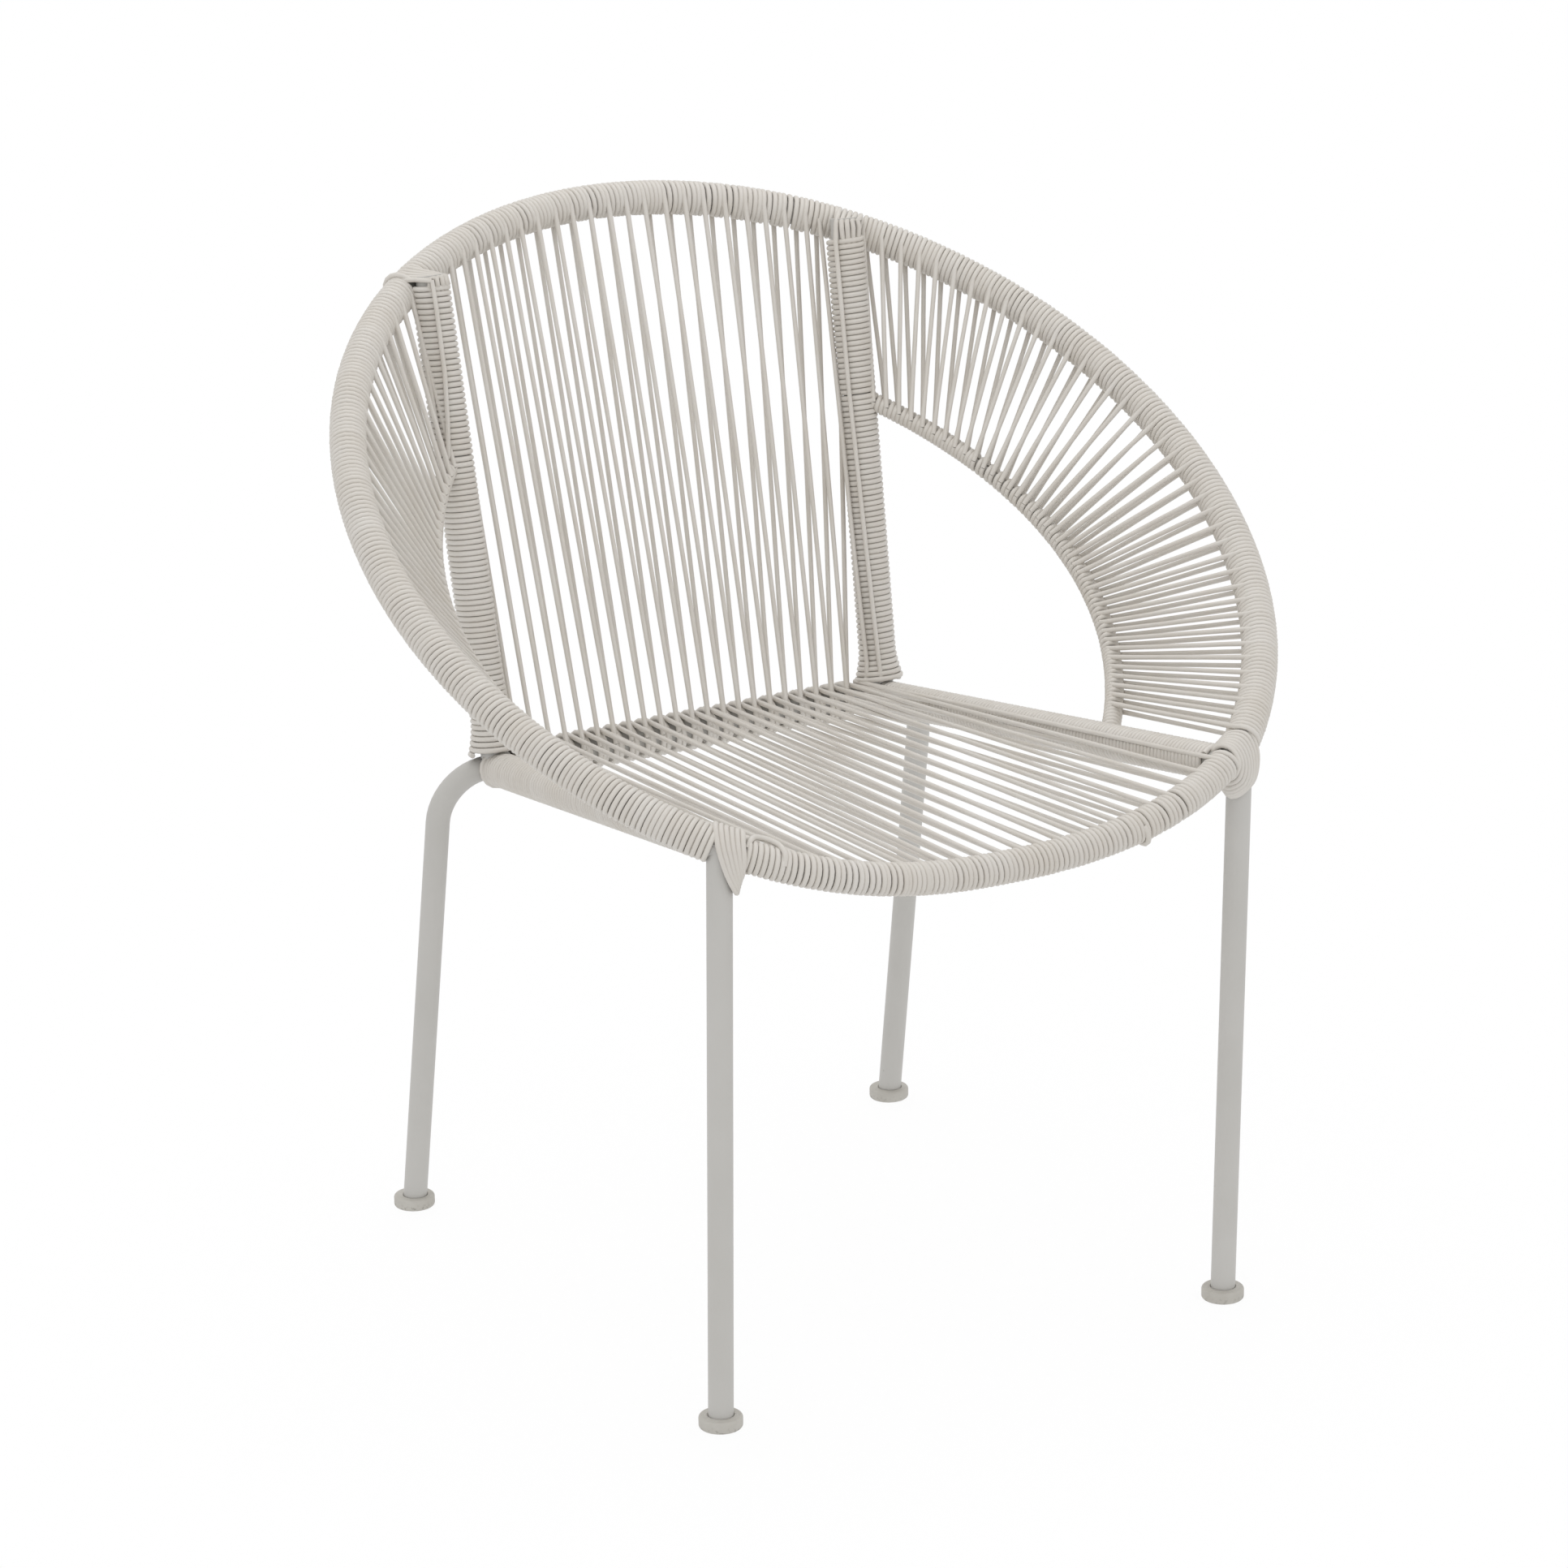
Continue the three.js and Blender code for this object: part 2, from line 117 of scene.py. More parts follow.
hoopRise = Vector((0, math.cos(hoop["tilt"]), math.sin(hoop["tilt"])))
hoopUp = Vector((0, -math.sin(hoop["tilt"]), math.cos(hoop["tilt"])))


def mirrored(point, side):
    return Vector((point.x * side, point.y, point.z))


def mirroredLines(lines, side):
    return [[mirrored(p, side) for p in line] for line in lines]


def hoopPoint(angle):
    turn = math.radians(angle)
    across = Vector((hoop["halfWidth"] * math.sin(turn), 0, 0))
    return hoop["centre"] + across + hoopRise * (hoop["halfLength"] * math.cos(turn))


corner = hoopPoint(hoop["cornerAngle"])


def bowPoint(share):
    along = abs(share)
    forward = bow["forward"] * (1 - along ** bow["forwardPower"])
    drop = bow["drop"] * (1 - along ** bow["dropPower"])
    return Vector((corner.x * share, corner.y - forward, corner.z - drop))


setBack = hoop["centre"].y
frontFoot = Vector((corner.x, corner.y + legs["frontFootSetIn"], 0))
rearKnee = Vector((legs["kneeHalfWidth"], setBack + legs["crossbarSetBack"], legs["crossbarHeight"]))
rearFoot = Vector((legs["footHalfWidth"], setBack + legs["footSetBack"], 0))
railRear = Vector((rail["halfWidth"], rearKnee.y, rearKnee.z))
railFront = bowPoint(rail["bowShare"])
railAlong = (railFront - railRear).normalized()


def railPoint(reach):
    return railRear + railAlong * reach


postFoot = railPoint(post["fromCrossbar"])
postHoop = hoopPoint(hoop["postAngle"])
hoopAtPost = (hoopPoint(hoop["postAngle"] + 0.5) - hoopPoint(hoop["postAngle"] - 0.5)).normalized()
postAside = hoopAtPost.cross((postHoop - postFoot).normalized()).normalized()
postAside *= -1 if postAside.y > 0 else 1
postHead = postHoop + postAside * ((hoop["tube"] + post["tube"]) / 2 + 0.0005)
postAlong = (postHead - postFoot).normalized()
postLength = (postHead - postFoot).length


def postPoint(reach):
    return postFoot + postAlong * reach


archStart = postPoint(arch["postReach"])
archEnd = railPoint(arch["railReach"])


def archPoint(share):
    flat = math.sqrt(1 - arch["round"] ** 2)
    curved = math.sqrt(1 - (arch["round"] * (2 * share - 1)) ** 2)
    return archStart.lerp(archEnd, share) + right * (arch["bulge"] * (curved - flat) / (1 - flat))


archUp = (archEnd - archStart).cross(right).normalized()


# A curve with its length measured, and the frame of its cross-section at any distance
class Track:
    def __init__(self, curve, start, end, above, samples=500):
        self.start, self.end, self.above = start, end, above
        self.points = [curve(start + (end - start) * i / samples) for i in range(samples + 1)]
        self.runs = [0.0]
        for i in range(samples):
            self.runs.append(self.runs[-1] + (self.points[i + 1] - self.points[i]).length)
        self.length = self.runs[-1]

    def runAt(self, value):
        place = (value - self.start) / (self.end - self.start) * (len(self.points) - 1)
        low = max(0, min(int(place), len(self.points) - 2))
        return self.runs[low] + (place - low) * (self.runs[low + 1] - self.runs[low])

    def at(self, run):
        low = max(0, min(bisect.bisect_right(self.runs, run) - 1, len(self.points) - 2))
        ahead = self.points[low + 1] - self.points[low]
        share = (run - self.runs[low]) / ahead.length
        return self.points[low] + ahead * share, ahead.normalized()

    def axes(self, run):
        point, along = self.at(run)
        normal = (self.above - along * self.above.dot(along)).normalized()
        return point, normal, along.cross(normal)

    def ring(self, run, angle, radius):
        point, normal, aside = self.axes(run)
        return point + (normal * math.cos(angle) + aside * math.sin(angle)) * radius

    # The angles at which a cord leaves the ring for a point, or comes to it from one
    def contact(self, run, target, radius, leaving):
        point, normal, aside = self.axes(run)
        off = target - point
        flat = Vector((off.dot(normal), off.dot(aside)))
        toward = math.atan2(flat.y, flat.x)
        turn = math.acos(min(1, radius / flat.length))
        return toward - turn if leaving else toward + turn


hoopTrack = Track(hoopPoint, -hoop["cornerAngle"], hoop["cornerAngle"], hoopUp)
bowTrack = Track(bowPoint, -1, 1, up)
crossTrack = Track(lambda x: Vector((x, rearKnee.y, rearKnee.z)), -0.2, 0.2, up)
archTrack = Track(archPoint, 0, 1, archUp)

cordRadius = cord["size"] / 2


def windRadius(tube):
    return tube / 2 + cord["gap"] + cordRadius


# A helix from one run and angle to another. The radius may be a function of how far along it is.
def turns(track, runs, angles, radius, shape=None):
    steps = max(2, round(abs(angles[1] - angles[0]) / (2 * math.pi) * cord["steps"]))
    path = []
    for i in range(steps + 1):
        share = i / steps
        run = runs[0] + (runs[1] - runs[0]) * share
        angle = angles[0] + (angles[1] - angles[0]) * share
        ring = radius(share) if callable(radius) else radius
        point = track.ring(run, angle, ring)
        path.append(shape(point) if shape else point)
    return path


# Small steady irregularity of hand work, from two waves
def wander(i, size, seed):
    return size * (0.6 * math.sin(1.9 * i + seed) + 0.4 * math.sin(0.73 * i + 2.1 * seed))


# Node trees

def newTree(name, inputs):
    tree = bpy.data.node_groups.new(name, "GeometryNodeTree")
    tree.interface.new_socket("Geometry", in_out="INPUT", socket_type="NodeSocketGeometry")
    for label, kind, value in inputs:
        socket = tree.interface.new_socket(label, in_out="INPUT", socket_type="NodeSocket" + kind)
        if value is not None:
            socket.default_value = value
    tree.interface.new_socket("Geometry", in_out="OUTPUT", socket_type="NodeSocketGeometry")
    return tree, tree.nodes.new("NodeGroupInput"), tree.nodes.new("NodeGroupOutput")


def addNode(tree, kind, links=None, **settings):
    node = tree.nodes.new(kind)
    for name, value in settings.items():
        setattr(node, name, value)
    for socket, source in (links or {}).items():
        if isinstance(source, bpy.types.NodeSocket):
            tree.links.new(source, node.inputs[socket])
        else:
            node.inputs[socket].default_value = source
    return node


def mathNode(tree, operation, a, b=0.0):
    return addNode(tree, "ShaderNodeMath", {0: a, 1: b}, operation=operation).outputs[0]


def scaled(tree, vector, factor):
    node = addNode(tree, "ShaderNodeVectorMath", {0: vector, "Scale": factor}, operation="SCALE")
    return node.outputs[0]


def vectorNode(tree, operation, a, b):
    return addNode(tree, "ShaderNodeVectorMath", {0: a, 1: b}, operation=operation).outputs[0]


# Sweeps a round section along the curves, keeps how far along it each point lies, and finishes the mesh
def sweepRound(tree, given, result, curve, radius, thickness=1.0):
    spline = addNode(tree, "GeometryNodeSplineParameter")
    kept = addNode(tree, "GeometryNodeStoreNamedAttribute",
                   {"Geometry": curve, "Name": "cordRun", "Value": spline.outputs["Length"]},
                   data_type="FLOAT", domain="POINT")
    section = addNode(tree, "GeometryNodeCurvePrimitiveCircle",
                      {"Resolution": given.outputs["Sides"], "Radius": given.outputs[radius]})
    around = addNode(tree, "GeometryNodeSplineParameter")
    keptRound = addNode(tree, "GeometryNodeStoreNamedAttribute",
                        {"Geometry": section.outputs["Curve"], "Name": "cordRound",
                         "Value": around.outputs["Factor"]},
                        data_type="FLOAT", domain="POINT")
    tube = addNode(tree, "GeometryNodeCurveToMesh",
                   {"Curve": kept.outputs[0], "Profile Curve": keptRound.outputs[0],
                    "Scale": thickness, "Fill Caps": True})
    smooth = addNode(tree, "GeometryNodeSetShadeSmooth", {"Geometry": tube.outputs[0]})
    real = addNode(tree, "GeometryNodeRealizeInstances", {"Geometry": smooth.outputs[0]})
    made = addNode(tree, "GeometryNodeSetMaterial",
                   {"Geometry": real.outputs[0], "Material": given.outputs["Material"]})
    tree.links.new(made.outputs[0], result.inputs["Geometry"])


# Lines of points become cords of a given thickness, with the slight waver of a cord pulled by hand
def cordTree():
    tree, given, result = newTree("strungCord", [
        ("Cord Radius", "Float", cordRadius), ("Sides", "Int", cord["sides"]),
        ("Waver", "Float", 0.0), ("Seed", "Float", 0.0), ("Material", "Material", None),
    ])
    curve = addNode(tree, "GeometryNodeMeshToCurve", {"Mesh": given.outputs["Geometry"]})
    place = addNode(tree, "GeometryNodeInputPosition")
    noise = addNode(tree, "ShaderNodeTexNoise",
                    {"Vector": place.outputs[0], "W": given.outputs["Seed"],
                     "Scale": cord["waverScale"], "Detail": 0.0},
                    noise_dimensions="4D")
    centred = vectorNode(tree, "SUBTRACT", noise.outputs["Color"], (0.5, 0.5, 0.5))
    shift = scaled(tree, centred, given.outputs["Waver"])
    moved = addNode(tree, "GeometryNodeSetPosition", {"Geometry": curve.outputs[0], "Offset": shift})
    thickness = addNode(tree, "GeometryNodeInputNamedAttribute", {"Name": "thickness"},
                        data_type="FLOAT")
    sweepRound(tree, given, result, moved.outputs[0], "Cord Radius", thickness.outputs["Attribute"])
    return tree


# A centre line becomes an even winding: one helix at a given pitch about it
def windingTree():
    tree, given, result = newTree("evenWinding", [
        ("Turn Radius", "Float", 0.012), ("Pitch", "Float", cord["pitch"]),
        ("Steps", "Int", cord["steps"]), ("Above", "Vector", (0, 0, 1)),
        ("Cord Radius", "Float", cordRadius), ("Sides", "Int", cord["sides"]),
        ("Waver", "Float", 0.0), ("Seed", "Float", 0.0), ("Material", "Material", None),
    ])
    curve = addNode(tree, "GeometryNodeMeshToCurve", {"Mesh": given.outputs["Geometry"]})
    step = mathNode(tree, "DIVIDE", given.outputs["Pitch"], given.outputs["Steps"])
    even = addNode(tree, "GeometryNodeResampleCurve", {"Curve": curve.outputs[0], "Length": step},
                   mode="LENGTH")
    index = addNode(tree, "GeometryNodeInputIndex")
    along = addNode(tree, "GeometryNodeInputTangent")
    turn = mathNode(tree, "DIVIDE", index.outputs[0], given.outputs["Steps"])
    angle = mathNode(tree, "MULTIPLY", turn, 2 * math.pi)
    dot = addNode(tree, "ShaderNodeVectorMath", {0: given.outputs["Above"], 1: along.outputs[0]},
                  operation="DOT_PRODUCT")
    lean = scaled(tree, along.outputs[0], dot.outputs["Value"])
    flat = vectorNode(tree, "SUBTRACT", given.outputs["Above"], lean)
    normal = addNode(tree, "ShaderNodeVectorMath", {0: flat}, operation="NORMALIZE").outputs[0]
    aside = vectorNode(tree, "CROSS_PRODUCT", along.outputs[0], normal)
    outward = vectorNode(tree, "ADD", scaled(tree, normal, mathNode(tree, "COSINE", angle)),
                         scaled(tree, aside, mathNode(tree, "SINE", angle)))
    turnNoise = addNode(tree, "ShaderNodeTexNoise",
                        {"W": mathNode(tree, "ADD", turn, given.outputs["Seed"]),
                         "Scale": 0.9, "Detail": 1.0},
                        noise_dimensions="1D")
    centred = mathNode(tree, "SUBTRACT", turnNoise.outputs["Fac"], 0.5)
    waver = mathNode(tree, "MULTIPLY", centred, given.outputs["Waver"])
    slip = scaled(tree, along.outputs[0], waver)
    lift = mathNode(tree, "ABSOLUTE", mathNode(tree, "MULTIPLY", waver, 0.4))
    rise = mathNode(tree, "ADD", given.outputs["Turn Radius"], lift)
    shift = vectorNode(tree, "ADD", scaled(tree, outward, rise), slip)
    moved = addNode(tree, "GeometryNodeSetPosition", {"Geometry": even.outputs[0], "Offset": shift})
    sweepRound(tree, given, result, moved.outputs[0], "Cord Radius")
    return tree


# Centre lines become steel tube
def tubeTree():
    tree, given, result = newTree("steelTube", [
        ("Tube Radius", "Float", 0.0095), ("Sides", "Int", 32), ("Material", "Material", None),
    ])
    curve = addNode(tree, "GeometryNodeMeshToCurve", {"Mesh": given.outputs["Geometry"]})
    sweepRound(tree, given, result, curve.outputs[0], "Tube Radius")
    return tree


trees = {"cord": cordTree(), "winding": windingTree(), "tube": tubeTree()}


# A cord is thinner where it is pulled straight: there its points lie far apart
def cordThickness(line):
    steps = [(b - a).length for a, b in zip(line, line[1:])]
    nearest = [min(a, b) for a, b in zip([steps[0]] + steps, steps + [steps[-1]])]
    shares = [max(0, min(1, (step - cord["turnStep"]) / cord["taper"])) for step in nearest]
    return [cord["turned"] + (cord["stretched"] - cord["turned"]) * share for share in shares]


# Lines of points as a mesh of edges, run through a node tree and turned into a plain mesh
def build(name, lines, tree, values):
    points, edges, thickness = [], [], []
    for line in lines:
        first = len(points)
        points += [tuple(p) for p in line]
        thickness += cordThickness(line)
        edges += [(first + i, first + i + 1) for i in range(len(line) - 1)]
    mesh = bpy.data.meshes.new(name + "Lines")
    mesh.from_pydata(points, edges, [])
    mesh.attributes.new("thickness", "FLOAT", "POINT").data.foreach_set("value", thickness)
    holder = bpy.data.objects.new(name + "Lines", mesh)
    scene.collection.objects.link(holder)
    modifier = holder.modifiers.new("build", "NODES")
    modifier.node_group = tree
    sockets = {s.name: s.identifier for s in tree.interface.items_tree if s.in_out == "INPUT"}
    for label, value in values.items():
        modifier[sockets[label]] = value
    evaluated = holder.evaluated_get(bpy.context.evaluated_depsgraph_get())
    made = bpy.data.meshes.new_from_object(evaluated, preserve_all_data_layers=True,
                                           depsgraph=bpy.context.evaluated_depsgraph_get())
    made.name = name
    bpy.data.objects.remove(holder)
    bpy.data.meshes.remove(mesh)
    piece = bpy.data.objects.new(name, made)
    scene.collection.objects.link(piece)
    return piece


def settle(piece, node):
    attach(piece, "root")
    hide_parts(node)


# Finishes

def newMaterial(name):
    material = bpy.data.materials.new(name)
    material.use_nodes = True
    tree = material.node_tree
    return material, tree, tree.nodes["Principled BSDF"]


def colour(hexText):
    channels = [int(hexText[i:i + 2], 16) / 255 for i in (0, 2, 4)]
    linear = [c / 12.92 if c <= 0.04045 else ((c + 0.055) / 1.055) ** 2.4 for c in channels]
    return (*linear, 1)


# Dirt and colour drift that every finish has, at its own scale
def driftGroup():
    tree = bpy.data.node_groups.new("surfaceDrift", "ShaderNodeTree")
    white = (1, 1, 1, 1)
    for label, kind, value in [("Colour", "Color", white), ("Worn Colour", "Color", white),
                               ("Scale", "Float", 20.0), ("Amount", "Float", 0.3)]:
        socket = tree.interface.new_socket(label, in_out="INPUT", socket_type="NodeSocket" + kind)
        socket.default_value = value
    tree.interface.new_socket("Colour", in_out="OUTPUT", socket_type="NodeSocketColor")
    tree.interface.new_socket("Mask", in_out="OUTPUT", socket_type="NodeSocketFloat")
    given, result = tree.nodes.new("NodeGroupInput"), tree.nodes.new("NodeGroupOutput")
    place = addNode(tree, "ShaderNodeTexCoord")
    noise = addNode(tree, "ShaderNodeTexNoise",
                    {"Vector": place.outputs["Object"], "Scale": given.outputs["Scale"], "Detail": 5.0})
    ramp = addNode(tree, "ShaderNodeMapRange",
                   {"Value": noise.outputs["Fac"], "From Min": 0.35, "From Max": 0.75})
    mask = mathNode(tree, "MULTIPLY", ramp.outputs[0], given.outputs["Amount"])
    mix = addNode(tree, "ShaderNodeMix", {"Factor": mask}, data_type="RGBA")
    tree.links.new(given.outputs["Colour"], mix.inputs[6])
    tree.links.new(given.outputs["Worn Colour"], mix.inputs[7])
    tree.links.new(mix.outputs[2], result.inputs["Colour"])
    tree.links.new(mask, result.inputs["Mask"])
    return tree


drift = driftGroup()


def addDrift(tree, values):
    node = tree.nodes.new("ShaderNodeGroup")
    node.node_tree = drift
    node.inputs["Colour"].default_value = colour(values["clean"])
    node.inputs["Worn Colour"].default_value = colour(values["worn"])
    node.inputs["Scale"].default_value = values["driftScale"]
    node.inputs["Amount"].default_value = values["driftAmount"]
    return node


# The base colour is the drifting tone, with a second colour over it where the mask says
def layerColours(tree, shader, tone, mask, over):
    mix = addNode(tree, "ShaderNodeMix", {"Factor": mask}, data_type="RGBA")
    tree.links.new(tone.outputs["Colour"], mix.inputs[6])
    mix.inputs[7].default_value = colour(over)
    tree.links.new(mix.outputs[2], shader.inputs["Base Color"])


def addNoise(tree, place, scale, detail):
    node = addNode(tree, "ShaderNodeTexNoise", {"Vector": place, "Scale": scale, "Detail": detail})
    return node.outputs["Fac"]


def addBump(tree, shader, height, distance, strength):
    bump = addNode(tree, "ShaderNodeBump",
                   {"Height": height, "Distance": distance, "Strength": strength})
    tree.links.new(bump.outputs[0], shader.inputs["Normal"])


coatValues = {
    "clean": "c3c1bd", "worn": "bab8b3", "driftScale": 14.0, "driftAmount": 0.6,
    "roughness": 0.42, "specular": 0.4, "peel": 900.0,
    "speck": "6f6a60", "speckScale": 95.0, "speckSize": 0.055, "speckAbove": 0.93, "speckDepth": 0.5,
}


# Powder coat: a fine orange peel, slight drift of tone, a few dust specks
def powderCoat(values):
    material, tree, shader = newMaterial("powderCoat")
    tone = addDrift(tree, values)
    place = addNode(tree, "ShaderNodeTexCoord")
    specks = addNode(tree, "ShaderNodeTexVoronoi",
                     {"Vector": place.outputs["Object"], "Scale": values["speckScale"]})
    few = addNode(tree, "ShaderNodeTexWhiteNoise", {"Vector": specks.outputs["Color"]},
                  noise_dimensions="3D")
    small = mathNode(tree, "LESS_THAN", specks.outputs["Distance"], values["speckSize"])
    rare = mathNode(tree, "GREATER_THAN", few.outputs["Value"], values["speckAbove"])
    speck = mathNode(tree, "MULTIPLY", mathNode(tree, "MULTIPLY", small, rare), values["speckDepth"])
    layerColours(tree, shader, tone, speck, values["speck"])
    addBump(tree, shader, addNoise(tree, place.outputs["Object"], values["peel"], 2.0), 0.0002, 0.25)
    shader.inputs["Roughness"].default_value = values["roughness"]
    shader.inputs["Specular IOR Level"].default_value = values["specular"]
    return material


vinylValues = {
    "clean": "d9d5cf", "worn": "d1cbc2", "driftScale": 26.0, "driftAmount": 0.7,
    # A darker colour, laid over the cord in random stretches along its length, and how strongly
    "patchColour": "b8b0a4", "patchDepth": 0.16, "patchScale": 9.0,
    "roughness": 0.4, "glossier": 0.08, "duller": 0.12, "specular": 0.42,
}


# Vinyl cord: smooth and slightly waxy, with faint drawn lines along it, a tone that drifts, and a darker
# colour in random stretches along its length
def vinylCord(values):
    material, tree, shader = newMaterial("vinylCord")
    tone = addDrift(tree, values)
    run = addNode(tree, "ShaderNodeAttribute", attribute_name="cordRun")
    around = addNode(tree, "ShaderNodeAttribute", attribute_name="cordRound")
    lines = addNode(tree, "ShaderNodeCombineXYZ",
                    {"X": mathNode(tree, "MULTIPLY", around.outputs["Fac"], 18.0),
                     "Y": mathNode(tree, "MULTIPLY", run.outputs["Fac"], 12.0)})
    drawn = addNoise(tree, lines.outputs[0], 1.0, 3.0)
    # Darker colour in random stretches along the cord, from noise over how far along the cord each point
    # lies
    patchPlace = mathNode(tree, "MULTIPLY", run.outputs["Fac"], values["patchScale"])
    patch = addNode(tree, "ShaderNodeTexNoise", {"W": patchPlace, "Scale": 1.0, "Detail": 2.0},
                    noise_dimensions="1D")
    shade = addNode(tree, "ShaderNodeMapRange",
                    {"Value": patch.outputs["Fac"], "From Min": 0.3, "From Max": 0.7,
                     "To Min": 0.0, "To Max": values["patchDepth"]})
    layerColours(tree, shader, tone, shade.outputs[0], values["patchColour"])
    gloss = addNode(tree, "ShaderNodeMapRange",
                    {"Value": drawn, "To Min": values["roughness"] - values["glossier"],
                     "To Max": values["roughness"] + values["duller"]})
    tree.links.new(gloss.outputs[0], shader.inputs["Roughness"])
    addBump(tree, shader, drawn, 0.0001, 0.3)
    shader.inputs["Specular IOR Level"].default_value = values["specular"]
    return material


capValues = {
    "clean": "bfbcb5", "worn": "b2aea6", "driftScale": 60.0, "driftAmount": 0.8,
    "dirt": "5e574c", "dirtHeight": 0.006, "dirtDepth": 0.8, "dustScale": 420.0, "roughness": 0.55,
}


# Moulded foot caps: dull plastic, scuffed and dirty towards the floor
def footMoulding(values):
    material, tree, shader = newMaterial("footMoulding")
    tone = addDrift(tree, values)
    place = addNode(tree, "ShaderNodeTexCoord")
    height = addNode(tree, "ShaderNodeSeparateXYZ", {0: place.outputs["Object"]})
    low = addNode(tree, "ShaderNodeMapRange",
                  {"Value": height.outputs["Z"], "From Min": 0.0, "From Max": values["dirtHeight"],
                   "To Min": values["dirtDepth"], "To Max": 0.0})
    dust = addNoise(tree, place.outputs["Object"], values["dustScale"], 3.0)
    spots = addNode(tree, "ShaderNodeMapRange", {"Value": dust, "From Min": 0.56, "From Max": 0.68})
    mask = mathNode(tree, "MULTIPLY", low.outputs[0], spots.outputs[0])
    layerColours(tree, shader, tone, mask, values["dirt"])
    addBump(tree, shader, dust, 0.0002, 0.3)
    shader.inputs["Roughness"].default_value = values["roughness"]
    return material


coat, vinyl, moulding = powderCoat(coatValues), vinylCord(vinylValues), footMoulding(capValues)
print("finishes made")


# Steel frame

def legLine(foot, knee, top):
    low = foot.lerp(knee, legs["floorOfCap"] / knee.z)
    return [low, foot.lerp(knee, top / knee.z)]


# Corners joined by straight runs and round bends
def bentLine(corners, radius, steps=12):
    line = [corners[0]]
    for i in range(1, len(corners) - 1):
        back = (corners[i - 1] - corners[i]).normalized()
        ahead = (corners[i + 1] - corners[i]).normalized()
        halfTurn = back.angle(ahead) / 2
        centre = corners[i] + (back + ahead).normalized() * (radius / math.sin(halfTurn))
        first = corners[i] + back * (radius / math.tan(halfTurn)) - centre
        axis = back.cross(ahead).normalized()
        for k in range(steps + 1):
            turned = Matrix.Rotation(-(math.pi - 2 * halfTurn) * k / steps, 3, axis) @ first
            line.append(centre + turned)
    return line + [corners[-1]]


def steel(name, line, size, node):
    piece = build(name, [line], trees["tube"], {"Tube Radius": size / 2, "Material": coat})
    settle(piece, node)


def makeFrame():
    low = rearFoot.lerp(rearKnee, legs["floorOfCap"] / rearKnee.z)
    rearCorners = [low, rearKnee, mirrored(rearKnee, -1), mirrored(low, -1)]
    steel("rearLegFrame", bentLine(rearCorners, legs["bend"]), legs["tube"], "rear_leg_frame")
    steel("hoopTube", hoopTrack.points[::5], hoop["tube"], "hoop_tube")
    steel("frontBowTube", bowTrack.points[::10], bow["tube"], "front_bow_tube")
    top = corner.z + hoop["tube"] / 2 + legs["topCover"]
    lines = [
        legLine(frontFoot, corner, top),
        [railPoint(legs["tube"] / 2), railFront - railAlong * (bow["tube"] / 2)],
        [postPoint(rail["tube"] / 2), postPoint(postLength + post["topCover"])],
        [archPoint(arch["rodFrom"] + arch["rodSpan"] * i / 40) for i in range(41)],
    ]
    for label, side in (("left", -1), ("right", 1)):
        leg, seatRail, backPost, armArch = mirroredLines(lines, side)
        steel(label + "FrontLeg", leg, legs["tube"], label + "_front_leg")
        steel(label + "SeatRail", seatRail, rail["tube"], label + "_seat_rail")
        steel(label + "BackPost", backPost, post["tube"], label + "_back_post")
        steel(label + "ArmArch", armArch, arch["rod"], label + "_arm_arch")


makeFrame()
print("steel frame made")

foot = {
    "radius": 0.0165, "height": 0.0095, "round": 0.0022, "soleInset": 1.2,       # inset in rounds
    "collar": 0.0006, "collarWidth": 0.0012, "sides": 48,
}


# Foot cap: a rounded disc with a shallow collar where the leg goes in
def footCap(name, floorPoint, knee, node):
    profile = [(0.0, 0.0), (foot["radius"] - foot["round"] * foot["soleInset"], 0.0)]
    for centreHeight, start in ((foot["round"], -90), (foot["height"] - foot["round"], 0)):
        for i in range(7):
            turn = math.radians(start + 15 * i)
            profile.append((foot["radius"] - foot["round"] + foot["round"] * math.cos(turn),
                            centreHeight + foot["round"] * math.sin(turn)))
    inner = legs["tube"] / 2 + cord["gap"]
    outer = inner + foot["collarWidth"]
    profile += [(outer, foot["height"]),
                (inner + foot["collarWidth"] / 2, foot["height"] + foot["collar"]),
                (inner, foot["height"]), (inner, legs["floorOfCap"]), (0.0, legs["floorOfCap"])]
    mesh = bmesh.new()
    rings = []
    lean = (knee - floorPoint) / knee.z
    for radius, height in profile:
        shift = lean * height if radius <= outer and height > 0 else up * height
        centre = floorPoint + shift
        if radius == 0:
            rings.append([mesh.verts.new(centre)])
            continue
        ringVerts = []
        for i in range(foot["sides"]):
            turn = 2 * math.pi * i / foot["sides"]
            outward = Vector((math.cos(turn), math.sin(turn), 0))
            ringVerts.append(mesh.verts.new(centre + outward * radius))
        rings.append(ringVerts)
    for a, b in zip(rings, rings[1:]):
        for i in range(foot["sides"]):
            k = (i + 1) % foot["sides"]
            face = [a[i % len(a)], a[k % len(a)], b[k % len(b)], b[i % len(b)]]
            mesh.faces.new(list(dict.fromkeys(face)))
    bmesh.ops.recalc_face_normals(mesh, faces=mesh.faces)
    data = bpy.data.meshes.new(name)
    mesh.to_mesh(data)
    mesh.free()
    data.materials.append(moulding)
    data.shade_smooth()
    piece = bpy.data.objects.new(name, data)
    scene.collection.objects.link(piece)
    settle(piece, node)


for label, side in (("left", -1), ("right", 1)):
    for end, low, high in (("Front", frontFoot, corner), ("Rear", rearFoot, rearKnee)):
        footCap(label + end + "FootCap", mirrored(low, side), mirrored(high, side),
                label + "_" + end.lower() + "_foot_cap")
print("foot caps made")

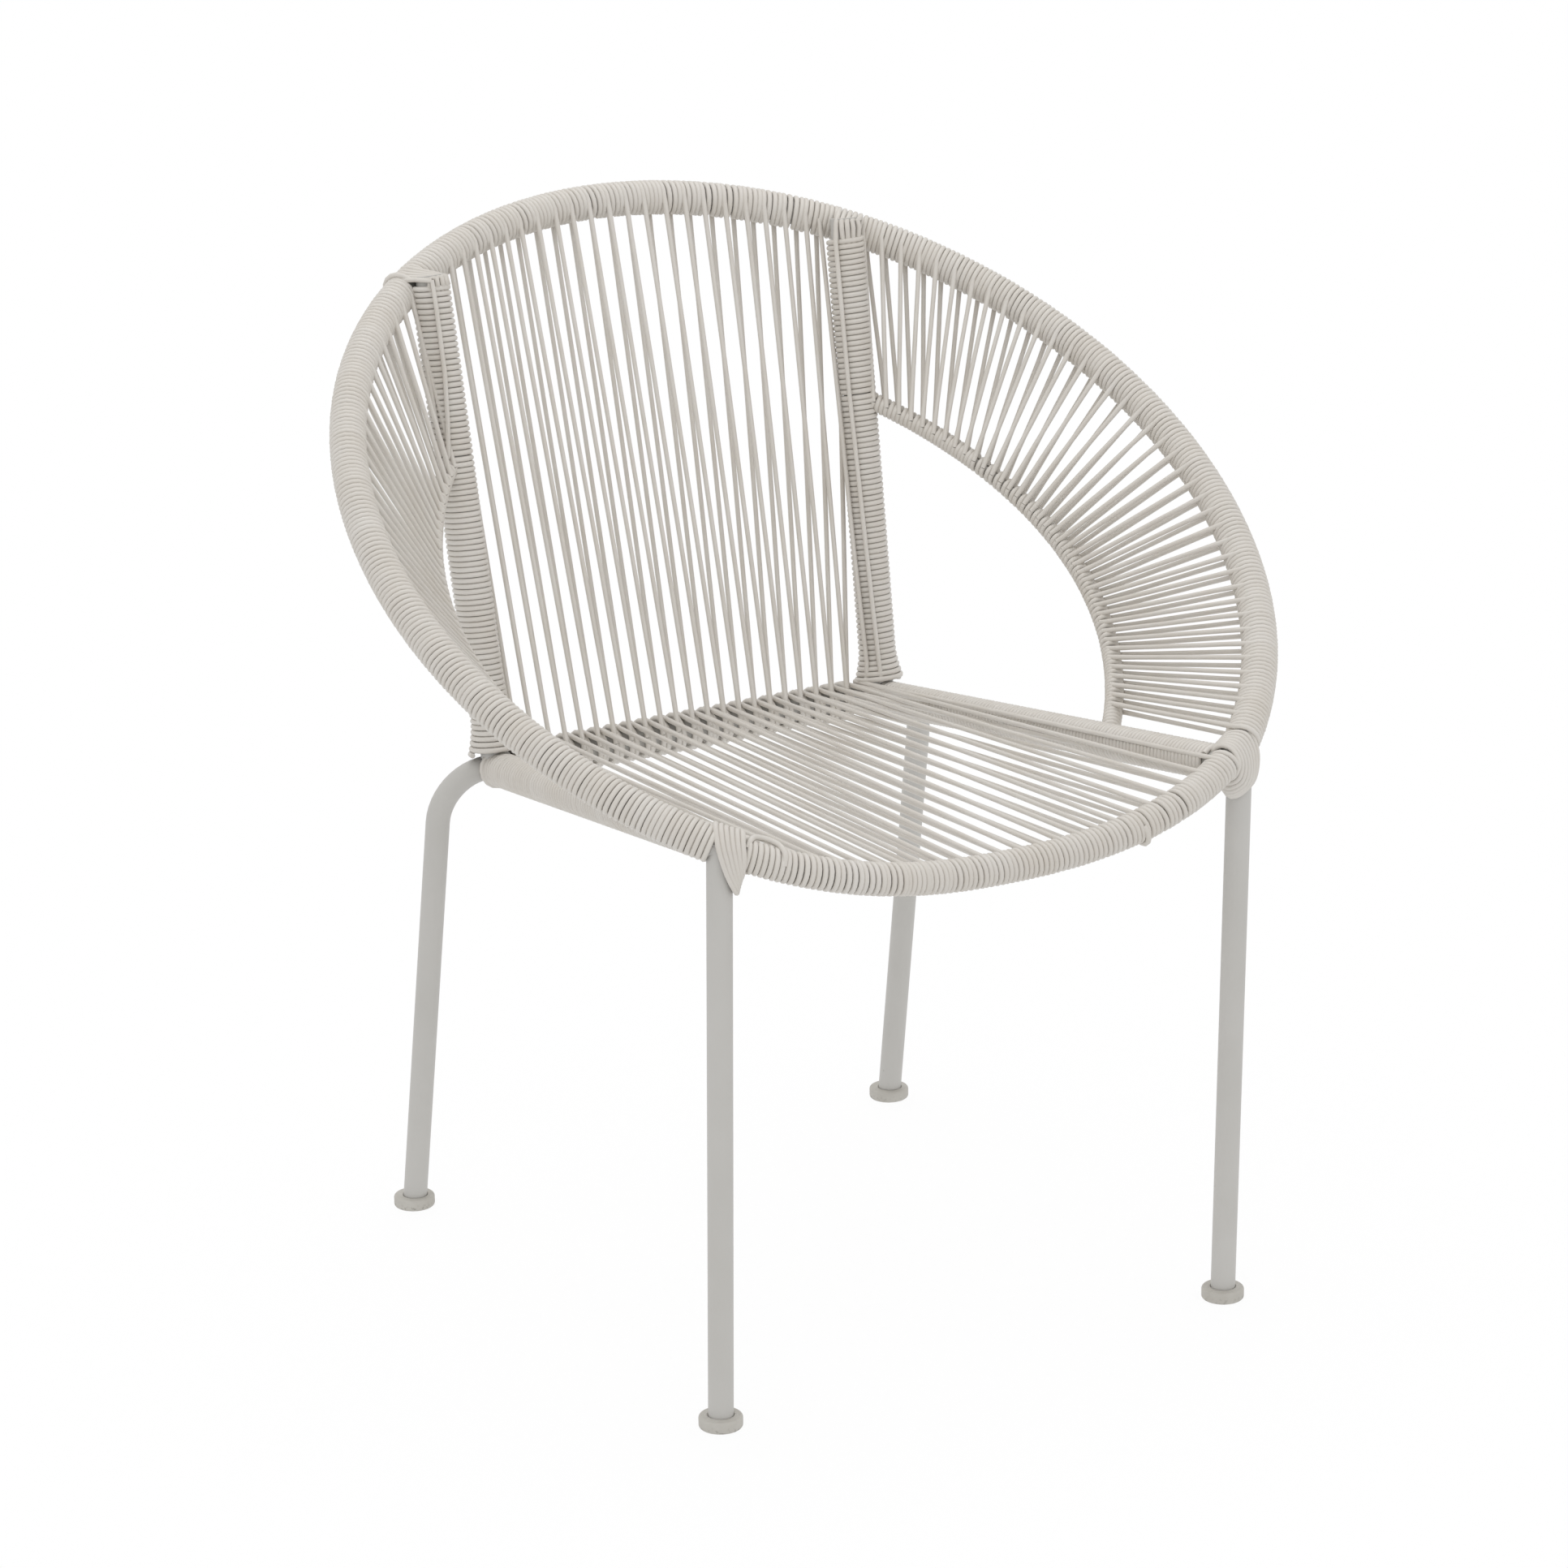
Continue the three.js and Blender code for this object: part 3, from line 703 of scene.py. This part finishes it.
# Back and seat are one cord. Each loop comes down from the hoop's front, turns round the crossbar and
# goes over the bow. It comes back from under the bow close by, turns round the crossbar three pairs
# further left and goes up to the hoop's outside.
strings = {
    "last": 20,                                   # the last loop that reaches the hoop
    "crossSpacing": 0.0142, "crossShift": 0.001, "crossLimit": 0.1575, "middle": 10,
    "hoopSpacing": 2.81, "frontShift": 0.82,      # degrees
    "backBehind": -0.85,                          # degrees after the front string two pairs along
    "bowSpacing": 0.0169, "bowShift": -0.009, "bowAfter": 0.0012, "bowDrift": 0.00034, "loopWidth": 3,
    "stripWander": 0.0012,
    "bowPitch": 0.004225, "endCords": [(-0.158, -0.1605), (0.1625, 0.1605)],
}
hoopRing = windRadius(hoop["tube"])
bowRing = windRadius(bow["tube"])
crossRing = windRadius(legs["tube"])
archRing = windRadius(arch["rod"])
tau = 2 * math.pi


def crossPlace(k, offset):
    x = strings["crossSpacing"] * (k - strings["middle"]) + strings["crossShift"] + offset
    return crossTrack.runAt(max(-strings["crossLimit"], min(strings["crossLimit"], x)))


def frontAngle(k):
    return strings["hoopSpacing"] * (k - strings["middle"]) + strings["frontShift"] + wander(k, 0.2, 1.0)


def backAngle(k):
    return frontAngle(k + 2) + strings["backBehind"]


def bowTop(k):
    x = strings["bowSpacing"] * (k - strings["middle"]) + strings["bowShift"] + wander(k, 0.0003, 2.0)
    return bowTrack.runAt(x / corner.x)


def bowUnder(k):
    beside = k + strings["loopWidth"]
    return bowTop(beside) + strings["bowAfter"] + strings["bowDrift"] * (beside - strings["middle"])


# The straight cord between two rings, each end on the side where it comes off or goes on
def straightCord(trackA, runA, ringA, offA, trackB, runB, ringB, offB):
    pointB = trackB.at(runB)[0]
    for attempt in range(3):
        angleA = trackA.contact(runA, pointB, ringA, offA)
        pointA = trackA.ring(runA, angleA, ringA)
        angleB = trackB.contact(runB, pointA, ringB, offB)
        pointB = trackB.ring(runB, angleB, ringB)
    shares = [0, 0.02, 0.07, 0.2, 0.35, 0.5, 0.65, 0.8, 0.93, 0.98, 1]
    return angleA % tau, angleB % tau, [pointA.lerp(pointB, share) for share in shares]


# The winding between an angle and the next one, in as many turns as lie closest side by side
def woundTurns(track, runs, angles, ring, pitch):
    part = (angles[1] - angles[0]) % tau
    count = max(0, round((runs[1] - runs[0]) / pitch - part / tau))
    return turns(track, runs, (angles[0], angles[0] + part + tau * count), ring)


# One wound member from start to end, with the cords that leave it and come to it on the way. The
# winding before a cord that comes ends a quarter turn short of it. Past the end, cords stay bare.
def woundMember(track, start, end, ring, pitch, events):
    lines = []
    run, angle, path = start, 0.0, []
    for at, kind, arrival, straight in sorted(events, key=lambda e: e[0]):
        if at > end:
            lines.append(straight)
            continue
        wound = woundTurns(track, (run, at), (angle, arrival), ring, pitch)
        if kind == "leaves":
            lines.append(path + wound + straight[1:])
            path = []
        else:
            lines.append(path + wound[:-(cord["steps"] // 4)])
            path = straight[:-1]
        run, angle = at, arrival
    whole = round((end - run) / pitch)
    path += turns(track, (run, end), (angle, angle + tau * whole), ring)
    lines.append(path)
    return [line for line in lines if len(line) > 1]


# The turns round the crossbar between a cord of the back and its cord of the seat
def crossWrap(cross, strip, arrive, off, ring):
    return turns(crossTrack, (cross, strip), (arrive, off + tau * (2 if off < arrive else 1)), ring)


# The cords at the hoop's front lie over those at its outside where they turn round the crossbar.
# Each comes to the crossbar at "cross" and leaves it for the bow at "strip".
halves = [
    {"front": True, "first": 0, "last": 22, "hoopAngle": frontAngle, "bowRun": bowTop,
     "lift": 0.0024, "cross": -0.00155, "strip": 0.0052, "seed": 4.0},
    {"front": False, "first": -2, "last": 20, "hoopAngle": backAngle, "bowRun": bowUnder,
     "lift": 0.0, "cross": -0.00056, "strip": 0.009, "seed": 6.0},
]


def backAndSeat():
    hoopEvents, bowEvents, wraps = [], [], []
    for half in halves:
        front, ring = half["front"], crossRing + half["lift"]
        for k in range(half["first"], half["last"] + 1):
            at, low = hoopTrack.runAt(half["hoopAngle"](k)), half["bowRun"](k)
            cross = crossPlace(k, half["cross"])
            strip = crossPlace(k, half["strip"] + wander(k, strings["stripWander"], half["seed"]))
            high, arrive, back = straightCord(hoopTrack, at, hoopRing, front,
                                              crossTrack, cross, ring, False)
            off, on, seat = straightCord(crossTrack, strip, ring, True,
                                         bowTrack, low, bowRing, not front)
            bowEvents.append((low, "arrives", on, seat) if front else (low, "leaves", on, seat[::-1]))
            if k > strings["last"]:
                continue
            hoopEvents.append((at, "leaves", high, back) if front else (at, "arrives", high, back[::-1]))
            wraps.append(crossWrap(cross, strip, arrive, off, ring))
    return hoopEvents, bowEvents, wraps


postRun = hoopTrack.runAt(hoop["postAngle"])
postTrack = Track(postPoint, 0, postLength + post["topCover"], right, 60)
postOut = (postAside - postAlong * postAside.dot(postAlong)).normalized()
postAcross = postAlong.cross(postOut)
posts = {
    "ring": windRadius(post["tube"]), "bands": 6, "bandPitch": 0.00436,
    "firstBand": {"left": 1, "right": 2},
    "backRoom": 0.006, "sideRoom": 0.013,         # room that the windings of back and sides leave
    "headTurn": (150, 352),                       # degrees round the hoop
    "headPath": [(0.0035, 0.97, 0), (-0.002, 1, 0.0006)],      # past the post's end, share of turn, lift
    "topTurns": {"left": 0.003, "right": 0.0105}, "tuck": 0.006, "tuckLift": (-0.0008, -0.0022),
    "over": cord["size"] + 0.0002,
    "archMeet": 0.0003, "archRoot": 0.004,
    "lowerStart": 0.0135, "flareTurns": 6, "flare": 0.0055, "flarePower": 1.6,
}


def postSurface(reach, turn, lift=0.0):
    angle = math.radians(turn)
    outward = postOut * math.cos(angle) + postAcross * math.sin(angle)
    return postPoint(reach) + outward * (posts["ring"] + lift)


# Points on the post's winding, each a share of the post's length, metres past it and degrees round
def postFace(places):
    return [postSurface(postLength * share + past, turn, posts["over"]) for share, past, turn in places]


def radians(angles):
    return [math.radians(angle) for angle in angles]


# A cord that starts under the hoop behind the post head, goes over both and down the post's front
def overPostHead(offset, ending):
    turn = math.degrees(math.asin(max(-1, min(1, offset / posts["ring"]))))
    path = turns(hoopTrack, (postRun + offset, postRun + offset), radians(posts["headTurn"]), hoopRing)
    for past, share, lift in posts["headPath"]:
        path.append(postSurface(postLength + past, turn * share, lift))
    return path + ending(turn)


def smoothed(points, steps=6):
    line = []
    last = len(points) - 1
    for i in range(last):
        a, b, c, d = points[max(0, i - 1)], points[i], points[i + 1], points[min(last, i + 2)]
        for k in range(steps):
            s = k / steps
            line.append(0.5 * (2 * b + (c - a) * s + (2 * a - 5 * b + 4 * c - d) * s * s
                               + (3 * b - a - 3 * c + d) * s ** 3))
    return line + [points[-1]]


# The turns over a post's head, tucked under the first turns of its upper winding
def headBands(label):
    top = postLength - posts["topTurns"][label]
    places = list(zip((top, top - posts["tuck"]), posts["tuckLift"]))
    return [overPostHead(offset, lambda turn: [postSurface(reach, turn, lift) for reach, lift in places])
            for offset in bandOffsets[posts["firstBand"][label]:]]


bandOffsets = [posts["bandPitch"] * (i - (posts["bands"] - 1) / 2) for i in range(posts["bands"])]
rightFace = {
    "hoopAngle": 30.9, "crossAt": 0.1605, "crossEnd": (-0.93, 0.35),      # in rings of the crossbar
    "start": (0.8, 0, -64), "startShare": 0.3,
    "first": [(0.6, 0, -58), (0.3, 0, -44), (0, 0.03, -32)],
    "secondStart": (0.012, 2), "second": [(0.66, 0, -22), (0.33, 0, -10), (0, 0.032, 0)],
    "secondEnd": (0.014, 4, 0.002),
}


# The two cords of the back that lie over the right post's face
def rightPostStrings(values):
    cross = crossTrack.runAt(values["crossAt"])
    near = straightCord(hoopTrack, hoopTrack.runAt(values["hoopAngle"]), hoopRing, True,
                        crossTrack, cross, crossRing, False)[2]
    crossEnd = Vector((0, *(crossRing * share for share in values["crossEnd"])))
    start = near[1].lerp(postFace([values["start"]])[0], values["startShare"])
    first = [near[0], start] + postFace(values["first"]) + [crossTrack.axes(cross)[0] + crossEnd]
    below, aside = values["secondStart"]
    reach, turnAtEnd, sink = values["secondEnd"]
    second = overPostHead(bandOffsets[1], lambda turn: (
        postFace([(1, -below, turn + aside)] + values["second"])
        + [postSurface(reach, turnAtEnd, posts["over"] - sink)]))
    return [first, second]


leftFace = {
    "headRuns": (0.0085, 0.0095), "headTurn": (200, 372), "headLift": 0.003,
    "second": [(1, 0.002, 47), (1, -0.02, 46), (0.82, 0, 47), (0, arch["postReach"] + 0.03, 56),
               (0, arch["postReach"] + 0.004, 66), (0, arch["postReach"] - 0.006, 84)],
    "firstEnd": (0, arch["postReach"] + 0.004, 84), "hoopAngles": (36.2, 36.4), "stand": 0.001,
}


# The two cords of the left side panel that lie over the left post's face
def leftPostStrings(values):
    second = turns(hoopTrack, [postRun + run for run in values["headRuns"]], radians(values["headTurn"]),
                   hoopRing + values["headLift"])
    second += postFace(values["second"])
    low = postFace([values["firstEnd"]])[0]
    start, end = (hoopTrack.runAt(angle) for angle in values["hoopAngles"])
    angle = hoopTrack.contact(end, low, hoopRing, True)
    high = hoopTrack.ring(end, angle, hoopRing)
    first = turns(hoopTrack, (start, end), (angle - math.pi, angle), hoopRing)
    first += [high.lerp(low, 0.5) + postOut * values["stand"], low]
    return [first, second]


headRuns = [hoopTrack.length - postRun + posts["backRoom"], postRun - posts["backRoom"]]
hoopEvents, bowEvents, crossLines = backAndSeat()
backLines = woundMember(hoopTrack, headRuns[0], headRuns[1], hoopRing, cord["pitch"], hoopEvents)
backLines += headBands("right") + mirroredLines(headBands("left"), -1) + rightPostStrings(rightFace)

# Corners: loops fan out over each leg's top and draw together low on the leg's bow side.
# Each loop goes through points given in mm: towards the bow, forwards and up from the corner.
corners = {"hoopReach": 0.0045, "bowLeft": 0.019, "bowRight": 0.0235}
bowward = (bowPoint(0.93) - corner).cross(up).cross(up).normalized() * -1
forward = up.cross(bowward)
forward *= 1 if forward.y < 0 else -1
fans = {
    "left": {"loops": 6, "rings": [
        [(16, -12, -4), (16.5, -2, 10), (16.5, 9, 4), (17, 12.4, -8), (14.5, 5, -22), (13, -8, -18)],
        [(8.5, -12, 0.5), (7, -2, 13.2), (7.7, 10.2, 4), (11, 12.4, -12.5), (13, 4.8, -27.5),
         (11, -8, -21)],
        [(1, -12, 5), (-2.5, -2, 16.5), (-1, 11.5, 4), (5, 12.3, -17), (11.5, 4.5, -33), (9, -8, -24)]]},
    "right": {"loops": 8, "rings": [
        [(21.5, -13, -6), (21.5, -6, 3), (22, 5, 2), (23, 10.8, -8), (23, 6, -19), (22, -5, -20)],
        [(15, -14, -6), (14.5, -6, 5.5), (12, 6, 5.5), (10, 12.5, -9), (10, 10, -27), (17, -3, -33)],
        [(3, -13, -4), (-3, -8, 8.5), (-5, 5, 8), (-3.5, 12.5, -8), (2.5, 11.5, -28), (13, -2, -37)]]},
}


def cornerPlace(values):
    return corner + (bowward * values[0] + forward * values[1] + up * values[2]) * mm


# Each loop is smoothed as a closed ring and goes one step past its start, so that its ends overlap
def fanLines(values):
    lines = []
    steps = 6
    for i in range(values["loops"]):
        s = i / (values["loops"] - 1)
        weights = ((1 - s) * (1 - 2 * s), 4 * s * (1 - s), s * (2 * s - 1))
        ring = []
        for places in zip(*values["rings"]):
            blend = [sum(w * v for w, v in zip(weights, parts)) for parts in zip(*places)]
            ring.append(cornerPlace(blend))
        closed = smoothed(ring[3:] + ring + ring[:4], steps)
        lines.append(closed[2 * steps:(3 + len(ring)) * steps])
    return lines


slack = {
    "crossing": [(17.5, 40, -1), (19, 5, 1.5), (22.5, -20, 4), (29, -28, 5.2), (36, -22, 4.6),
                 (41.5, 0, 3.2), (45, 35, 2), (46, 75, 0)],       # mm along, degrees round, mm of lift
    "doubledAt": 0.485, "doubledRun": 0.005, "doubledTurn": (70, 270), "doubledLift": 0.0034,
}


# A slack turn that crosses its neighbours behind the bow's left end, and a doubled one under its
# right side
def slackTurns(values):
    crossing = [bowTrack.ring(run * mm, math.radians(angle), bowRing + lift * mm)
                for run, angle, lift in values["crossing"]]
    at = bowTrack.runAt(values["doubledAt"])

    def lifted(share):
        return bowRing + values["doubledLift"] * math.sin(math.pi * share) ** 0.5

    doubled = turns(bowTrack, (at, at + values["doubledRun"]), radians(values["doubledTurn"]), lifted)
    return [smoothed(crossing), doubled]


seatLines = woundMember(bowTrack, corners["bowLeft"], bowTrack.length - corners["bowRight"], bowRing,
                        strings["bowPitch"], bowEvents)
seatLines += mirroredLines(fanLines(fans["left"]), -1) + fanLines(fans["right"]) + slackTurns(slack)
railLength = (railFront - railRear).length
railTrack = Track(railPoint, 0, railLength, up, 60)
windings = {
    "waver": 0.0006, "start": legs["tube"] / 2 + 0.0026, "bareFront": 0.012,
    "flange": 0.0017, "flangeRun": 0.001,
}
for ends in strings["endCords"]:
    crossLines.append(turns(crossTrack, [crossTrack.runAt(x) for x in ends], (0, tau), crossRing))
flange = turns(railTrack, (windings["start"] - windings["flangeRun"], windings["start"]), (0, tau),
               windRadius(rail["tube"]) + windings["flange"])
crossLines += [flange] + mirroredLines([flange], -1)


def strung(name, lines, node, seed):
    piece = build(name, lines, trees["cord"],
                  {"Waver": cord["waver"], "Seed": float(seed), "Material": vinyl})
    settle(piece, node)
    print(name, "made:", len(piece.data.polygons), "faces")


strung("backStrings", backLines, "back_strings", 1)
strung("seatStrings", seatLines, "seat_strings", 2)
strung("crossbarWinding", crossLines, "crossbar_winding", 3)

# Side panels: from the hoop's inside down to the arch, round it, and up to the hoop's outside
sides = {
    "loops": 40, "firstAngle": 36.9, "angleSpacing": 2.62, "behind": 0.35,     # degrees
    "firstShare": 0.029, "shareSpacing": 0.0229, "sharePair": 0.019, "lastShare": 0.985,
    "archStart": 0.012, "archRoom": 0.012, "archPitch": 0.0042,
}


def sidePanel():
    hoopEvents, archEvents = [], []
    hoopEnd = hoopTrack.length - corners["hoopReach"]
    for j in range(sides["loops"]):
        value = sides["firstAngle"] + sides["angleSpacing"] * j + wander(j, 0.15, 3.0)
        share = sides["firstShare"] + sides["shareSpacing"] * j
        for offset, past, downwards in ((0, 0, True), (sides["behind"], sides["sharePair"], False)):
            at = hoopTrack.runAt(value + offset)
            low = archTrack.runAt(min(sides["lastShare"], share + past))
            if at > hoopEnd:
                continue
            angle, archAngle, straight = straightCord(hoopTrack, at, hoopRing, downwards,
                                                      archTrack, low, archRing, not downwards)
            if downwards:
                hoopEvents.append((at, "leaves", angle, straight))
                archEvents.append((low, "arrives", archAngle, []))
            else:
                hoopEvents.append((at, "arrives", angle, straight[::-1]))
                archEvents.append((low, "leaves", archAngle, []))
    lines = woundMember(hoopTrack, postRun + posts["sideRoom"], hoopEnd, hoopRing, cord["pitch"],
                        hoopEvents)
    return lines + woundMember(archTrack, archTrack.runAt(sides["archStart"]),
                               archTrack.length - sides["archRoom"], archRing, sides["archPitch"],
                               archEvents)


sideLines = sidePanel()
leftLines = mirroredLines(sideLines + leftPostStrings(leftFace), -1)
strung("leftSideStrings", leftLines, "left_side_strings", 4)
strung("rightSideStrings", sideLines, "right_side_strings", 5)

# Even windings of the rails
def railWinding(label, side, seed):
    reaches = (windings["start"], railLength - windings["bareFront"])
    first, last = (mirrored(railPoint(reach), side) for reach in reaches)
    line = [first.lerp(last, i / 40) for i in range(41)]
    piece = build(label + "RailWinding", [line], trees["winding"],
                  {"Turn Radius": windRadius(rail["tube"]), "Above": up, "Waver": windings["waver"],
                   "Cord Radius": cordRadius * cord["turned"],
                   "Seed": float(seed), "Material": vinyl})
    settle(piece, label + "_rail_winding")


# Post windings: the lowest turns open out over the joint with rail and crossbar, and those beside the
# arm arch part round its end
archAlong = (archPoint(0.03) - archStart).normalized()


def roundArch(point):
    off = point - archStart
    along = off.dot(archAlong)
    across = off - archAlong * along
    need = arch["rod"] / 2 + cordRadius + cord["gap"]
    if along < posts["archRoot"] or across.length >= need:
        return point
    return archStart + archAlong * along + across * (need / across.length)


def postLines(label):
    upper = (arch["postReach"] + posts["archMeet"], postLength - posts["topTurns"][label])
    lower = (posts["lowerStart"], arch["postReach"] - posts["archMeet"])
    flareShare = posts["flareTurns"] * cord["pitch"] / (lower[1] - lower[0])

    def opened(share):
        return posts["ring"] + posts["flare"] * max(0, 1 - share / flareShare) ** posts["flarePower"]

    made = []
    for runs, ring in ((lower, opened), (upper, posts["ring"])):
        count = round((runs[1] - runs[0]) / cord["pitch"])
        made.append([turns(postTrack, runs, (0, tau * count), ring, roundArch)])
    return made


for label, side, seed in (("left", -1, 10), ("right", 1, 20)):
    railWinding(label, side, seed)
    lower, upper = (mirroredLines(lines, side) for lines in postLines(label))
    strung(label + "PostLowerWinding", lower, label + "_post_lower_winding", seed + 1)
    strung(label + "PostUpperWinding", upper, label + "_post_upper_winding", seed + 2)

# Stage: white all round, soft light from above the viewer's left
stage = {
    "sky": 0.86,
    "lamps": [                                    # name, place, size, power in watts
        ("keyLight", (-2.4, -2.6, 3.4), 2.0, 14.0),
        ("fillLight", (2.6, -2.6, 1.8), 2.4, 4.0),
        ("topLight", (0.2, 0.8, 3.2), 2.2, 16.0),
    ],
    "floor": "ffffff", "floorHalf": 4.0, "floorRoughness": 0.9,
    "shade": 0.07, "shadeFrom": 0.5, "shadeTo": 1.3,
}


def makeStage(values):
    world = bpy.data.worlds.new("surround")
    scene.world = world
    world.use_nodes = True
    tree = world.node_tree
    background = tree.nodes["Background"]
    seen = addNode(tree, "ShaderNodeLightPath")
    level = addNode(tree, "ShaderNodeMapRange",
                    {"Value": seen.outputs["Is Camera Ray"], "To Min": values["sky"], "To Max": 1.0})
    tree.links.new(level.outputs[0], background.inputs["Strength"])
    background.inputs["Color"].default_value = (1, 1, 1, 1)
    middle = Vector((0, 0, 0.4))
    for name, place, size, power in values["lamps"]:
        data = bpy.data.lights.new(name, "AREA")
        data.energy = power
        data.size = size
        lamp = bpy.data.objects.new(name, data)
        lamp.location = place
        lamp.rotation_euler = (middle - Vector(place)).to_track_quat("-Z", "Y").to_euler()
        scene.collection.objects.link(lamp)


def makeFloor(values):
    mesh = bpy.data.meshes.new("floor")
    half = values["floorHalf"]
    square = [(-half, -half, 0), (half, -half, 0), (half, half, 0), (-half, half, 0)]
    mesh.from_pydata(square, [], [(0, 1, 2, 3)])
    floor = bpy.data.objects.new("floor", mesh)
    scene.collection.objects.link(floor)
    material, tree, shader = newMaterial("floorPaint")
    place = addNode(tree, "ShaderNodeTexCoord")
    away = addNode(tree, "ShaderNodeVectorMath", {0: place.outputs["Object"]}, operation="LENGTH")
    fade = addNode(tree, "ShaderNodeMapRange",
                   {"Value": away.outputs["Value"], "From Min": values["shadeFrom"],
                    "From Max": values["shadeTo"], "To Min": values["shade"], "To Max": 0.0})
    tree.links.new(fade.outputs[0], shader.inputs["Alpha"])
    shader.inputs["Base Color"].default_value = colour(values["floor"])
    shader.inputs["Roughness"].default_value = values["floorRoughness"]
    mesh.materials.append(material)


makeStage(stage)
makeFloor(stage)
scene.view_settings.view_transform = "Standard"
print("stage set")
